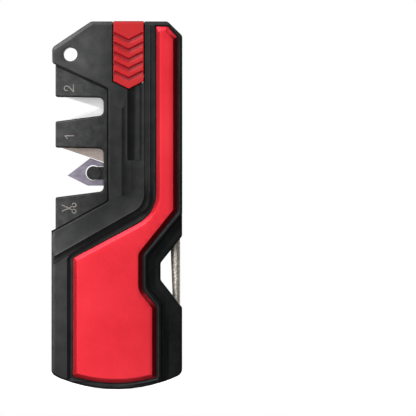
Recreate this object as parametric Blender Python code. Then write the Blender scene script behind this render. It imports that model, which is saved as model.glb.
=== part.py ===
# Pocket edge sharpener: two half cores and two covers around the blades, the ceramics and a fold-out
# tapered rod, a let-in front panel, a thumb slider and a spring clip on the back.
# The tool stands on its lower end: X across the face, -Y the front, +Z along the length.
# Sizes below are in millimetres, and MM turns them to metres where a mesh is made.

from math import acos, cos, hypot, pi, sin, sqrt, tan

import bmesh
import bpy

MM = 0.001
GAP = 0.35                     # room between two pieces that meet

# Body
TOP = 115.95                   # top edge
RIGHT = 20.55                  # right edge of the covers
LEFT = -20.7                   # left edge of the lower body
JAW_LEFT = -19.4               # left face of the jaws
SLOT_END = -4.26               # right end of both sharpening slots
BOTTOM_RADIUS = 47.8           # the curved lower end
BOTTOM_X = -0.25               # its lowest point
PARTING_X = -2.65              # the covers' edge beside the slots
THIN_FROM, THIN_TO = 72.0, 58.0    # the body gets thinner between these two heights

# Levels, as distances from the seam: one number, or (above THIN_FROM, below THIN_TO)
SEAM = 0.15
CORE_SLAB = 5.1
CORE_FACE = 6.6
CORNER_FACE = 5.95             # the lower right corner beside the rod
COVER_BACK = 5.4
COVER_FACE = (7.34, 6.63)
PANEL_BACK = (6.95, 6.24)
PANEL_FLOOR = (6.6, 5.9)
PANEL_FACE = (8.1, 7.55)
BEYOND = 12.0

# Rod and its pivot
PIVOT_X, PIVOT_Z = 15.8, 11.5
ROD_FACE_X = 19.9              # the straight side of the rod
ROD_FOOT, ROD_TIP = 17.2, 99.1
ROD_STATIONS = [               # height, half width across the tool, thickness
    (ROD_FOOT, 2.3, 2.4), (29.0, 2.65, 2.4), (43.0, 2.3, 3.0), (60.0, 1.95, 3.3), (75.5, 1.6, 3.0),
    (94.0, 0.95, 1.9), (98.3, 0.85, 1.7), (ROD_TIP, 0.45, 0.9),
]
CHANNEL_HALF = 3.2
HOLDER_HALF = 2.85
KNUCKLE_RADIUS = 4.3
PIN_RADIUS = 1.25

# Thumb slider
SLIDER_LEFT, SLIDER_RIGHT = -1.1, 8.43
SLIDER_SIDE_Z, SLIDER_POINT_Z = 97.1, 94.7
SLIDER_X = (SLIDER_LEFT + SLIDER_RIGHT) / 2
CARRIAGE_HALF = 2.9
CARRIAGE_LOW, CARRIAGE_HIGH = 70.0, 112.5
NOTCH_HEIGHTS = [84.0, 102.0]  # where the spring holds the slider
GROOVE_FIRST, GROOVE_STEP, GROOVE_WIDTH, GROOVE_RISE = 109.25, 3.0, 1.15, 3.4
GROOVES = 5

# Clip
CLIP_SPLIT_Z = 62.0
CLIP_PIVOT_X = 15.7
CLIP_THICK = 1.0
CLIP_STRAIGHT_Z, CLIP_TIP_Z = 38.0, 5.0
CLIP_STEPS = 5
CLIP_FACE, CLIP_TIP_FACE = 8.1, 9.0

LANYARD = (-14.7, 105.6, 2.2)
POST = (-7.6, 68.3, 2.1)
POST_STEM_HALF, POST_STEM_END = 1.85, -2.6
POST_HALF = 2.4
SHANK_RADIUS, SCREW_HEAD_RADIUS, DRIVER_RADIUS = 1.0, 1.6, 0.75
RIVET_RADIUS, RIVET_HEAD_RADIUS, RIVET_HOLE_RADIUS = 0.8, 1.7, 1.15
SCREW_PLACES = [(-8.4, 106.0), (5.0, 63.0), (-12.0, 50.3), (-17.2, 9.0)]
RIVET_PLACES = [(15.7, 105.0), (15.7, 72.0)]

# Outlines in the face plane: (x, z, corner radius), clockwise seen from the front
TAB = [(-20.4, 102.9, 0.6), (-20.5, 107.7, 2.2), (-8.2, TOP, 2.5)]
UPPER_RIGHT = [(15.95, TOP, 1.5), (RIGHT, 111.5, 1.5)]
COVER_RIGHT = [(RIGHT, 55.2, 1.0), (9.8, 41.8, 1.5), (9.8, 31.9, 4.0), (14.15, 27.0, 1.5), (14.15, 3.0, 0)]
COVER_LEFT = [(-20.1, 4.5, 1.8), (-20.1, 49.8, 0), (PARTING_X, 59.25, 1.0), (PARTING_X, 94.67, 1.5)]
SLIDER_MOUTH = [
    (SLIDER_LEFT - 0.3, TOP, 0), (SLIDER_LEFT - 0.3, SLIDER_SIDE_Z - 0.2, 0),
    (SLIDER_X, SLIDER_POINT_Z - 0.35, 0), (SLIDER_RIGHT + 0.3, SLIDER_SIDE_Z - 0.2, 0),
    (SLIDER_RIGHT + 0.3, TOP, 0),
]
SLOTS = [
    (JAW_LEFT, 60.5, 0.6), (SLOT_END, 62.45, 1.5), (SLOT_END, 75.85, 1.5), (JAW_LEFT, 76.2, 0.6),
    (JAW_LEFT, 84.4, 0.6), (SLOT_END, 86.4, 1.5), (SLOT_END, 91.85, 1.5), (JAW_LEFT, 92.2, 0.6),
]
THUMB = [(20.5, 48.3, 1.0), (13.7, 39.8, 1.5), (13.7, 34.4, 1.5), (20.5, 25.7, 1.0)]
CORE_CORNER = [(20.5, 4.75, 2.4)]
CORNER_TOP = [(20.5, 54.5, 0)]
CORNER_INNER = [(14.5, 3.15, 0), (14.5, 27.1, 1.5), (10.15, 31.95, 4.0), (10.15, 41.6, 1.5)]
CORE_LEFT = [(LEFT, 4.8, 2.0), (LEFT, 50.0, 0), (JAW_LEFT, 50.6, 0)]
CORE_TAB = [(JAW_LEFT, 102.9, 0), (-20.1, 103.4, 0), (-20.1, 107.5, 2.0), (-8.1, 115.6, 2.0)]
CORE_RIGHT = [
    (15.75, 115.6, 0), (18.5, 113.1, 0), (17.6, 112.2, 0), (19.2, 110.5, 0),
    (19.2, 64.6, 0), (20.5, 62.8, 0),
]
JAW_INNER = [(JAW_LEFT, 101.9, 0), (-3.0, 94.4, 1.5), (-3.0, 59.5, 1.0)]
THUMB_CHANNEL = [(3.3, 72.2), (7.4, 72.2), (7.4, 97.0), (3.3, 97.0)]
CHANNEL_FLOOR = 6.4

# Blades and ceramics: (x, z) outlines, and the room each takes across the seam
CARBIDE = [(-17.4, 76.1), (-3.2, 71.3), (-3.2, 79.4), (-15.6, 79.4)]
SCISSOR = [(-15.7, 67.4), (-8.5, 72.9), (-2.9, 70.9), (-2.9, 64.2), (-9.3, 64.2)]
CERAMIC_UPPER = [(-15.6, 91.9), (-3.3, 88.1), (-3.3, 94.2), (-13.0, 94.2)]
CERAMIC_LOWER = [(-15.0, 85.4), (-3.3, 89.4), (-3.3, 83.4), (-13.5, 83.4)]
INSERT_NEAR, INSERT_FAR, INSERT_ROOM = 0.2, 1.7, 2.05
PANEL_SIDES = [
    (12.35, 114.3, 0.3), (15.9, 114.3, 0.8), (19.0, 110.9, 0.8), (19.0, 56.15, 1.5), (8.0, 42.4, 2.0),
    (8.0, 31.45, 4.5), (12.4, 26.05, 1.0), (12.4, 3.7, 0.8),
]
PANEL_LEFT = [(-13.86, 4.0, 0.8), (-13.86, 41.3, 1.0), (12.35, 55.2, 11.0)]


def bottom_arc(from_x, to_x, rise=0.0, count=6):
    # Points along the curved lower end, or along a curve parallel to it that lies higher
    radius = BOTTOM_RADIUS - rise
    steps = [from_x + (to_x - from_x) * i / (count - 1) for i in range(count)]
    return [(x, BOTTOM_RADIUS - sqrt(radius**2 - (x - BOTTOM_X) ** 2), 0) for x in steps]


def panel_outline():
    return PANEL_SIDES + bottom_arc(11.2, -12.8, rise=2.0) + PANEL_LEFT


def rounded(points, steps=3):
    # Turns each (x, z, radius) corner into an arc that touches both of its sides
    result = []
    for i, (x, z, radius) in enumerate(points):
        before, after = points[i - 1], points[(i + 1) % len(points)]
        ax, az = before[0] - x, before[1] - z
        bx, bz = after[0] - x, after[1] - z
        la, lb = hypot(ax, az), hypot(bx, bz)
        ax, az, bx, bz = ax / la, az / la, bx / lb, bz / lb
        half = acos(max(-1.0, min(1.0, ax * bx + az * bz))) / 2
        reach = min(radius / tan(half), 0.48 * la, 0.48 * lb) if radius else 0.0
        if reach < 0.02:
            result.append((x, z))
            continue
        radius = reach * tan(half)
        mx, mz = ax + bx, az + bz
        length = hypot(mx, mz)
        cx = x + mx / length * radius / sin(half)
        cz = z + mz / length * radius / sin(half)
        for k in range(steps + 1):
            t = k / steps
            px, pz = x + ax * reach - cx, z + az * reach - cz
            qx, qz = x + bx * reach - cx, z + bz * reach - cz
            turn = pi - 2 * half
            wa, wb = sin((1 - t) * turn) / sin(turn), sin(t * turn) / sin(turn)
            result.append((cx + wa * px + wb * qx, cz + wa * pz + wb * qz))
    return result


def grown(points, distance):
    # Moves every side of an outline outwards by a distance, and keeps the corners sharp or round
    area = sum(
        points[i - 1][0] * points[i][1] - points[i][0] * points[i - 1][1] for i in range(len(points))
    )
    side = 1.0 if area > 0 else -1.0
    result = []
    for i, (x, z, radius) in enumerate(points):
        before, after = points[i - 1], points[(i + 1) % len(points)]
        ax, az = x - before[0], z - before[1]
        bx, bz = after[0] - x, after[1] - z
        la, lb = hypot(ax, az), hypot(bx, bz)
        nax, naz, nbx, nbz = side * az / la, -side * ax / la, side * bz / lb, -side * bx / lb
        scale = distance / (1.0 + nax * nbx + naz * nbz)
        result.append((x + (nax + nbx) * scale, z + (naz + nbz) * scale, radius))
    return result


def level_at(level, z):
    if not isinstance(level, tuple):
        return level
    share = min(1.0, max(0.0, (THIN_FROM - z) / (THIN_FROM - THIN_TO)))
    return level[0] + (level[1] - level[0]) * share


def circle(x, z, radius, sides=16):
    turns = [2 * pi * i / sides for i in range(sides)]
    return [(x + radius * cos(turn), z + radius * sin(turn)) for turn in turns]


def add_object(name, verts, faces):
    mesh = bpy.data.meshes.new(name)
    mesh.from_pydata(verts, [], faces)
    shape = bmesh.new()
    shape.from_mesh(mesh)
    bmesh.ops.remove_doubles(shape, verts=shape.verts, dist=1e-7)
    bmesh.ops.recalc_face_normals(shape, faces=shape.faces)
    shape.to_mesh(mesh)
    shape.free()
    obj = bpy.data.objects.new(name, mesh)
    bpy.context.scene.collection.objects.link(obj)
    return obj


def plate(name, outline, near, far, side=-1):
    # A plate between two levels on one side of the seam: -1 is the front, 1 the back
    sheet = bmesh.new()
    sheet.faces.new([sheet.verts.new((x, 0, z)) for x, z in outline])
    if isinstance(near, tuple) or isinstance(far, tuple):
        for height in (THIN_FROM, THIN_TO):
            geometry = sheet.verts[:] + sheet.edges[:] + sheet.faces[:]
            bmesh.ops.bisect_plane(sheet, geom=geometry, plane_co=(0, 0, height), plane_no=(0, 0, 1))
    sheet.verts.index_update()
    flat = [(v.co.x, v.co.z) for v in sheet.verts]
    count = len(flat)
    verts = [(x * MM, side * level_at(near, z) * MM, z * MM) for x, z in flat]
    verts += [(x * MM, side * level_at(far, z) * MM, z * MM) for x, z in flat]
    faces = [[v.index for v in f.verts] for f in sheet.faces]
    faces += [[v.index + count for v in f.verts][::-1] for f in sheet.faces]
    for edge in sheet.edges:
        if edge.is_boundary:
            a, b = edge.verts[0].index, edge.verts[1].index
            faces.append([a, b, b + count, a + count])
    sheet.free()
    return add_object(name, verts, faces)


def block(name, low, high):
    # A box between two corners
    (x0, y0, z0), (x1, y1, z1) = low, high
    outline = [(x0, z0), (x1, z0), (x1, z1), (x0, z1)]
    return plate(name, outline, y0, y1, side=1)


def material(name, colour, roughness, metallic=0.0):
    made = bpy.data.materials.new(name)
    made.use_nodes = True
    shader = made.node_tree.nodes["Principled BSDF"]
    shader.inputs["Base Color"].default_value = (*colour, 1.0)
    shader.inputs["Roughness"].default_value = roughness
    shader.inputs["Metallic"].default_value = metallic
    return made


def finish(obj, made):
    obj.data.materials.append(made)
    obj.data.shade_smooth()
    obj.data.set_sharp_from_angle(angle=0.6)
    return obj


def combine(obj, other, operation="DIFFERENCE"):
    # Cuts another object out of this one, or joins it on; the other stays as a hidden guide
    modifier = obj.modifiers.new(other.name, "BOOLEAN")
    modifier.operation = operation
    modifier.object = other
    other.hide_render = True
    other.display_type = "WIRE"
    return obj


def move_origin(obj, x, y, z):
    # Puts the object's origin on its joint axis, and leaves the shape where it is
    for vert in obj.data.vertices:
        vert.co.x -= x * MM
        vert.co.y -= y * MM
        vert.co.z -= z * MM
    obj.location = (x * MM, y * MM, z * MM)


def cover_outline(mouth):
    middle = SLIDER_MOUTH if mouth else []
    outline = TAB + middle + UPPER_RIGHT + COVER_RIGHT + bottom_arc(11.5, -18.0) + COVER_LEFT
    return rounded(outline)


def cut_round(obj, name, places, radius, near, far, side):
    for index, (x, z) in enumerate(places, 1):
        combine(obj, plate(f"{name}_{index}", circle(x, z, radius), near, far, side))


def build_front_cover(black):
    cover = plate("front_cover", cover_outline(mouth=True), COVER_BACK, COVER_FACE)
    recess = rounded(grown(panel_outline(), GAP))
    combine(cover, plate("cut_panel_recess", recess, PANEL_FLOOR, BEYOND))
    combine(cover, plate("cut_thumb_channel", THUMB_CHANNEL, CHANNEL_FLOOR, BEYOND))
    x, z, radius = LANYARD
    combine(cover, plate("cut_lanyard_front", circle(x, z, radius), 0.0, BEYOND))
    return finish(cover, black)


def build_rear_cover(black):
    cover = plate("rear_cover", cover_outline(mouth=False), COVER_BACK, COVER_FACE, side=1)
    recess = rounded(grown(panel_outline(), GAP))
    combine(cover, plate("cut_clip_recess", recess, (6.75, COVER_FACE[1] - 0.2), BEYOND, side=1))
    x, z, radius = LANYARD
    combine(cover, plate("cut_lanyard_rear", circle(x, z, radius), 0.0, BEYOND, side=1))
    cut_round(cover, "cut_screw_head", SCREW_PLACES, 1.9, 0.5, BEYOND, 1)
    cut_round(cover, "cut_rivet", RIVET_PLACES, RIVET_HOLE_RADIUS, 0.5, BEYOND, 1)
    return finish(cover, black)


def core_outline():
    sides = CORE_LEFT + SLOTS + CORE_TAB + CORE_RIGHT + THUMB + CORE_CORNER
    return rounded(sides + bottom_arc(17.0, -17.6))


def jaw_outline():
    return rounded(CORE_LEFT[-1:] + SLOTS + JAW_INNER)


def corner_outline():
    return rounded(CORNER_TOP + THUMB + CORE_CORNER + CORNER_INNER)


def build_core(name, side, black):
    core = plate(name, core_outline(), SEAM, CORE_SLAB, side)
    combine(core, plate(f"{name}_jaws", jaw_outline(), CORE_SLAB - 1.0, CORE_FACE, side), "UNION")
    combine(core, plate(f"{name}_corner", corner_outline(), CORE_SLAB - 1.0, CORNER_FACE, side), "UNION")
    for number, (low, high) in enumerate(rod_spaces(), 1):
        x0, half, z0 = low
        x1, z1 = high
        outline = [(x0, z0), (x1, z0), (x1, z1), (x0, z1)]
        combine(core, plate(f"{name}_rod_space_{number}", outline, 0.0, half, side))
    x, z, radius = LANYARD
    combine(core, plate(f"{name}_lanyard", circle(x, z, radius), 0.0, BEYOND, side))
    combine(core, plate(f"{name}_pin_hole", circle(PIVOT_X, PIVOT_Z, PIN_RADIUS + GAP), 0.0, 5.6, side))
    combine(core, plate(f"{name}_washer_seat", circle(PIVOT_X, PIVOT_Z, 2.95), 0.0, 3.95, side))
    for insert, outline in insert_shapes():
        pocket = rounded(grown([(px, pz, 0) for px, pz in outline], GAP))
        combine(core, plate(f"{name}_{insert}_pocket", pocket, 0.0, INSERT_ROOM, side))
    combine(core, plate(f"{name}_post_pocket", keyhole(GAP), 0.0, POST_HALF + GAP, side))
    shank = SHANK_RADIUS + GAP
    if side == 1:
        cut_round(core, f"{name}_screw", SCREW_PLACES, shank, 0.0, BEYOND, side)
        cut_round(core, f"{name}_rivet", RIVET_PLACES, RIVET_HOLE_RADIUS, 4.2, BEYOND, side)
    else:
        cut_round(core, f"{name}_screw", SCREW_PLACES, shank, 0.0, 3.3, side)
        combine(core, plate(f"{name}_slider_way", slider_way(), 2.3, BEYOND, side))
    return finish(core, black)


def rod_spaces():
    # The open channel for the rod: (left x, half width, low z), (right x, high z)
    return [
        ((15.4, CHANNEL_HALF, 16.0), (25.0, 91.0)),
        ((10.7, CHANNEL_HALF, -5.0), (25.0, 17.0)),
        ((14.2, 4.6, 78.5), (25.0, 92.0)),
        ((15.4, 3.0, 91.0), (25.0, 100.8)),
        ((9.6, 2.9, 6.6), (12.0, 27.0)),
    ]


def slider_way():
    left, right = SLIDER_X - CARRIAGE_HALF - GAP, SLIDER_X + CARRIAGE_HALF + GAP
    outline = [(left, 68.5, 0), (right, 68.5, 0), (right, 78.5, 0), (right + 2.3, 78.5, 0)]
    outline += [(right + 2.3, 101.5, 0), (right, 101.5, 0), (right, 120.0, 0), (left, 120.0, 0)]
    return rounded(outline)


def insert_shapes():
    return [
        ("carbide_blade", CARBIDE), ("scissor_blade", SCISSOR),
        ("ceramic_upper", CERAMIC_UPPER), ("ceramic_lower", CERAMIC_LOWER),
    ]


def keyhole(extra=0.0):
    # A round head with a straight stem that runs into the body
    x, z, radius = POST
    radius += extra
    half = POST_STEM_HALF + extra
    edge = sqrt(max(radius**2 - half**2, 0.01))
    open_angle = acos(edge / radius)
    span = 2 * pi - 2 * open_angle
    head = [
        (x + radius * cos(open_angle + span * i / 12), z + radius * sin(open_angle + span * i / 12))
        for i in range(13)
    ]
    end = POST_STEM_END + extra
    return head + [(end, z - half), (end, z + half)]


def build_inserts(carbide, steel, ceramic, black):
    # The two of each pair cross like scissors: one in front of the seam, the other behind it
    front, back = (-INSERT_FAR, -INSERT_NEAR), (INSERT_NEAR, INSERT_FAR)
    finish(plate("carbide_blade", CARBIDE, *front, side=1), carbide)
    blade = plate("scissor_blade", SCISSOR, *back, side=1)
    combine(blade, plate("cut_keyhole", keyhole(GAP), -1.0, 3.0, side=1))
    finish(blade, steel)
    finish(plate("ceramic_upper", CERAMIC_UPPER, *front, side=1), ceramic)
    finish(plate("ceramic_lower", CERAMIC_LOWER, *back, side=1), ceramic)
    finish(plate("blade_post", keyhole(), -POST_HALF, POST_HALF, side=1), black)


def build_front_panel(red):
    panel = plate("front_panel", rounded(panel_outline()), PANEL_BACK, PANEL_FACE)
    return finish(panel, red)


def lean_clip(obj):
    # The tongue is a wedge: its back stays straight, its face leans out in a gentle curve towards the tip
    shape = bmesh.new()
    shape.from_mesh(obj.data)
    for step in range(CLIP_STEPS):
        height = CLIP_STRAIGHT_Z + (CLIP_TIP_Z - CLIP_STRAIGHT_Z) * step / CLIP_STEPS
        geometry = shape.verts[:] + shape.edges[:] + shape.faces[:]
        bmesh.ops.bisect_plane(shape, geom=geometry, plane_co=(0, 0, height * MM), plane_no=(0, 0, 1))
    for vert in shape.verts:
        share = min(1.0, max(0.0, (CLIP_STRAIGHT_Z - vert.co.z / MM) / (CLIP_STRAIGHT_Z - CLIP_TIP_Z)))
        if vert.co.y > (CLIP_FACE - CLIP_THICK / 2) * MM:
            vert.co.y += (CLIP_TIP_FACE - CLIP_FACE) * share**1.5 * MM
    bmesh.ops.recalc_face_normals(shape, faces=shape.faces)
    shape.to_mesh(obj.data)
    shape.free()


def build_clip(red, steel):
    levels = (CLIP_FACE - CLIP_THICK, CLIP_FACE)
    whole = rounded(panel_outline())
    root = plate("clip_root", whole, *levels, side=1)
    combine(root, block("cut_clip_below", (-30, 5, -5), (30, 12, CLIP_SPLIT_Z + 0.15)))
    cut_round(root, "cut_root_rivet", RIVET_PLACES, RIVET_HEAD_RADIUS + GAP, 5.0, BEYOND, 1)
    finish(root, red)
    tongue = plate("clip_tongue", whole, *levels, side=1)
    lean_clip(tongue)
    combine(tongue, block("cut_clip_above", (-30, 5, CLIP_SPLIT_Z - 0.15), (30, 12, 130)))
    finish(tongue, red)
    move_origin(tongue, CLIP_PIVOT_X, CLIP_FACE - CLIP_THICK / 2, CLIP_SPLIT_Z)
    for index, (x, z) in enumerate(RIVET_PLACES, 1):
        rivet = plate(f"clip_rivet_{index}", circle(x, z, RIVET_RADIUS), 4.6, 7.2, side=1)
        head = plate(f"rivet_head_{index}", circle(x, z, RIVET_HEAD_RADIUS), 7.1, 8.05, side=1)
        finish(combine(rivet, head, "UNION"), steel)


def build_screws(steel):
    for index, (x, z) in enumerate(SCREW_PLACES, 1):
        screw = plate(f"body_screw_{index}", circle(x, z, SHANK_RADIUS), -2.9, 5.6, side=1)
        head = plate(f"screw_head_{index}", circle(x, z, SCREW_HEAD_RADIUS), 5.45, 6.35, side=1)
        combine(screw, head, "UNION")
        driver = circle(x, z, DRIVER_RADIUS, sides=6)
        combine(screw, plate(f"screw_driver_{index}", driver, 5.8, 7.0, side=1))
        finish(screw, steel)


def build_slider(red, black, steel):
    outline = [
        (SLIDER_LEFT, TOP + 0.1), (SLIDER_LEFT, SLIDER_SIDE_Z), (SLIDER_X, SLIDER_POINT_Z),
        (SLIDER_RIGHT, SLIDER_SIDE_Z), (SLIDER_RIGHT, TOP + 0.1),
    ]
    button = plate("slider_button", outline, 5.6, 7.5)
    for index in range(GROOVES):
        low = GROOVE_FIRST - GROOVE_STEP * index
        high = low + GROOVE_RISE
        groove = [(SLIDER_LEFT - 2, high), (SLIDER_X, low), (SLIDER_RIGHT + 2, high)]
        groove += [(x, z + GROOVE_WIDTH) for x, z in reversed(groove)]
        combine(button, plate(f"cut_groove_{index + 1}", groove, 7.15, BEYOND))
    finish(button, red)
    left, right = SLIDER_X - CARRIAGE_HALF, SLIDER_X + CARRIAGE_HALF
    carriage = [(left, CARRIAGE_LOW), (right, CARRIAGE_LOW), (right, CARRIAGE_HIGH), (left, CARRIAGE_HIGH)]
    body = plate("slider_carriage", carriage, 2.65, 5.25)
    for index, low in enumerate(NOTCH_HEIGHTS, 1):
        notch = [(right - 0.7, low + 1.0), (right + 1.0, low - 0.9), (right + 1.0, low + 2.9)]
        combine(body, plate(f"cut_notch_{index}", notch, 2.0, 6.0))
    finish(body, black)
    spring_x = right + GAP + 0.2
    bow = [(spring_x, 89.0), (spring_x + 0.9, 80.0), (spring_x + 1.4, 80.0), (spring_x + 0.5, 89.0)]
    bow += [(spring_x + 1.4, 99.0), (spring_x + 0.9, 99.0)]
    finish(plate("slider_spring", bow, 2.9, 4.7), steel)


def ring(z, half, thick, sides=16, extra=0.0):
    middle = ROD_FACE_X - thick / 2
    return [
        ((middle + (thick / 2 + extra) * cos(2 * pi * i / sides)) * MM,
         (half + extra) * sin(2 * pi * i / sides) * MM, z * MM)
        for i in range(sides)
    ]


def loft(name, rings):
    sides = len(rings[0])
    verts = [point for one in rings for point in one]
    faces = [list(range(sides)), list(range(len(verts) - sides, len(verts)))]
    for row in range(len(rings) - 1):
        for i in range(sides):
            a, b = row * sides + i, row * sides + (i + 1) % sides
            faces.append([a, b, b + sides, a + sides])
    return add_object(name, verts, faces)


def build_rod(grit, red, steel):
    rod = loft("diamond_rod", [ring(*station) for station in ROD_STATIONS])
    finish(rod, grit)
    move_origin(rod, PIVOT_X, 0, PIVOT_Z)
    knuckle = circle(PIVOT_X, PIVOT_Z, KNUCKLE_RADIUS, sides=24)
    holder = plate("rod_holder", knuckle, -HOLDER_HALF, HOLDER_HALF, side=1)
    neck = [(15.9, 13.0), (19.9, 13.0), (20.3, 16.2), (20.3, 21.0), (15.8, 21.0), (15.8, 16.2)]
    combine(holder, plate("holder_neck", neck, -HOLDER_HALF, HOLDER_HALF, side=1), "UNION")
    combine(holder, plate("cut_pin", circle(PIVOT_X, PIVOT_Z, PIN_RADIUS + 0.3), -5.0, 5.0, side=1))
    foot = [ring(z, 2.3, 2.4, extra=0.3) for z in (ROD_FOOT - 0.4, 24.0)]
    combine(holder, loft("cut_rod_foot", foot))
    finish(holder, red)
    move_origin(holder, PIVOT_X, 0, PIVOT_Z)
    finish(plate("rod_pivot_pin", circle(PIVOT_X, PIVOT_Z, PIN_RADIUS), -5.0, 5.0, side=1), steel)
    for name, side in (("pivot_washer_front", -1), ("pivot_washer_rear", 1)):
        washer = plate(name, circle(PIVOT_X, PIVOT_Z, 2.6), 3.2, 3.6, side)
        hole = plate(f"{name}_hole", circle(PIVOT_X, PIVOT_Z, PIN_RADIUS + 0.3), 2.0, 5.0, side)
        finish(combine(washer, hole), steel)


def build_rod_keepers(steel, black):
    # The snap catch: two arms beside the rod's upper end and a bridge behind it
    catch = block("rod_catch", (15.7, -2.65, 88.0), (18.9, 2.65, 94.2))
    combine(catch, block("cut_catch", (16.5, -1.7, 80.0), (20.0, 1.7, 99.0)))
    finish(catch, black)
    leaf = [(10.0, 8.0), (10.7, 11.5), (10.0, 15.0), (10.0, 26.0), (10.4, 26.0), (10.4, 15.2)]
    leaf += [(11.15, 11.5), (10.4, 7.8)]
    finish(plate("rod_detent_spring", leaf, -2.3, 2.3, side=1), steel)


def main():
    for obj in list(bpy.data.objects):
        bpy.data.objects.remove(obj)
    black = material("black_abs", (0.026, 0.027, 0.028), 0.55)
    core_black = material("textured_black_nylon", (0.038, 0.039, 0.04), 0.7)
    red_metal = material("red_anodised_aluminium", (0.80, 0.03, 0.05), 0.38, 0.6)
    red_plastic = material("red_abs", (0.62, 0.035, 0.04), 0.45)
    steel = material("bright_steel", (0.62, 0.61, 0.60), 0.3, 1.0)
    blade = material("ground_carbide", (0.33, 0.29, 0.28), 0.4, 1.0)
    scissor = material("ground_steel", (0.20, 0.19, 0.21), 0.35, 1.0)
    ceramic = material("white_ceramic", (0.82, 0.82, 0.80), 0.5)
    grit = material("diamond_grit", (0.55, 0.53, 0.48), 0.6, 0.5)
    build_core("front_core", -1, core_black)
    build_core("rear_core", 1, core_black)
    build_front_cover(black)
    build_rear_cover(black)
    build_front_panel(red_metal)
    build_inserts(blade, scissor, ceramic, black)
    build_rod(grit, red_plastic, steel)
    build_rod_keepers(steel, core_black)
    build_slider(red_plastic, black, steel)
    build_clip(red_metal, steel)
    build_screws(steel)


main()
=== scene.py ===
from math import radians

import bpy
import numpy as np
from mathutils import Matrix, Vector, geometry


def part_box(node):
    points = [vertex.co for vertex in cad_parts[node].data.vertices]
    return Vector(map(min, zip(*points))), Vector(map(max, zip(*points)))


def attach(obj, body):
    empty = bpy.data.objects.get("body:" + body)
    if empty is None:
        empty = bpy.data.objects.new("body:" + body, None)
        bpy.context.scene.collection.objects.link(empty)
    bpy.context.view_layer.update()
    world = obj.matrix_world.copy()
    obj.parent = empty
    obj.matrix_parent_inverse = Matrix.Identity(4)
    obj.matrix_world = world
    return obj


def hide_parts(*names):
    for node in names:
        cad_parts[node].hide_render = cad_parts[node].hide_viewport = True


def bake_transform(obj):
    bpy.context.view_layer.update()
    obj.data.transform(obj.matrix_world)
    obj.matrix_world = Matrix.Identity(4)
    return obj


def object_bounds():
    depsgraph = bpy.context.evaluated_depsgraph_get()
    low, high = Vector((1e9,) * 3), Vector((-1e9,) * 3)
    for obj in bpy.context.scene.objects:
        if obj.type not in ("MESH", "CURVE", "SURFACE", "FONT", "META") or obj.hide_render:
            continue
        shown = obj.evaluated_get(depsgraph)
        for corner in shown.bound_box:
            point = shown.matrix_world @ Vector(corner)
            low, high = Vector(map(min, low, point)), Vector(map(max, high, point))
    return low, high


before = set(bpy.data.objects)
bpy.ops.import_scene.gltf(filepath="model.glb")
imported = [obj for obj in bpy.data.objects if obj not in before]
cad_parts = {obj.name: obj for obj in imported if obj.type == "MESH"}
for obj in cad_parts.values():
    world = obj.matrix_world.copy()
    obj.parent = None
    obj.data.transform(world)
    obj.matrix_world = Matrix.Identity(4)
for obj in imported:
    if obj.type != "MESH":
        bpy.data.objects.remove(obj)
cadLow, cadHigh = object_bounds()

mm = 0.001


def boxMm(node):
    low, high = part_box(node)
    return np.array(low) / mm, np.array(high) / mm


coverHigh = boxMm("rear_cover")[1]
coreLow = boxMm("rear_core")[0]
panelLow, panelHigh = boxMm("front_panel")
sliderLow, sliderHigh = boxMm("slider_button")
pinLow, pinHigh = boxMm("rod_pivot_pin")
pinX, pinZ = (pinLow[0] + pinHigh[0]) / 2, (pinLow[2] + pinHigh[2]) / 2
holderTop = boxMm("rod_holder")[1][2]
rodLow, rodHigh = boxMm("diamond_rod")

# Outlines in the face plane are lists of corners (x, z, corner radius)

body = {
    "top": coverHigh[2], "right": coverHigh[0], "left": coreLow[0], "jawLeft": -19.4, "slotEnd": -4.26,
    "parting": -2.65, "bottomRadius": 47.8, "bottomX": -0.25,
    "thinFrom": 72.0, "thinTo": 58.0,              # the body gets thinner between these heights
    "lanyard": (-14.7, 105.6, 2.2),
    "screws": [(-8.4, 106.0), (5.0, 63.0), (-12.0, 50.3), (-17.2, 9.0)],
    "rivets": [(15.7, 105.0), (15.7, 72.0)],
    "gap": 0.35,
}


def bottomArc(fromX, toX, rise=0.0, count=9):
    # z = big radius - sqrt(radius^2 - x^2): the curved lower end, or a parallel to it that lies higher
    x = np.linspace(fromX, toX, count)
    z = body["bottomRadius"] - np.sqrt((body["bottomRadius"] - rise) ** 2 - (x - body["bottomX"]) ** 2)
    return [(a, b, 0.0) for a, b in zip(x.tolist(), z.tolist())]


def arcCorners(x, z, radius, turns):
    across, up = np.cos(turns).tolist(), np.sin(turns).tolist()
    return [(x + radius * c, z + radius * s, 0.0) for c, s in zip(across, up)]


def circle(x, z, radius, count=40):
    return arcCorners(x, z, radius, np.linspace(0, 2 * np.pi, count, endpoint=False))


def rectangle(left, low, right, high, radius=0.0):
    return [(left, low, radius), (right, low, radius), (right, high, radius), (left, high, radius)]


tab = [(-20.4, 102.9, 0.6), (-20.5, 107.7, 2.2), (-8.2, body["top"], 2.5)]
upperRight = [(15.95, body["top"], 1.5), (body["right"], 111.5, 1.5)]
coverRight = [
    (body["right"], 55.2, 1.0), (9.8, 41.8, 1.5), (9.8, 31.9, 4.0), (14.15, 27.0, 1.5), (14.15, 3.0, 0),
]
lowerLeft = [(-20.1, 4.5, 1.8), (-20.1, 49.8, 0)]
sliderMiddle = (sliderLow[0] + sliderHigh[0]) / 2
mouthLeft, mouthRight = sliderLow[0] - 0.3, sliderHigh[0] + 0.3
mouth = [
    (mouthLeft, body["top"], 0), (mouthLeft, 96.9, 0), (sliderMiddle, sliderLow[2] - 0.35, 0),
    (mouthRight, 96.9, 0), (mouthRight, body["top"], 0),
]
partingEdge = [(body["parting"], 59.25, 1.0), (body["parting"], 94.67, 1.5)]
hullCorners = tab + upperRight + coverRight + bottomArc(11.5, -18.0) + lowerLeft
jaws = body["jawLeft"]
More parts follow.
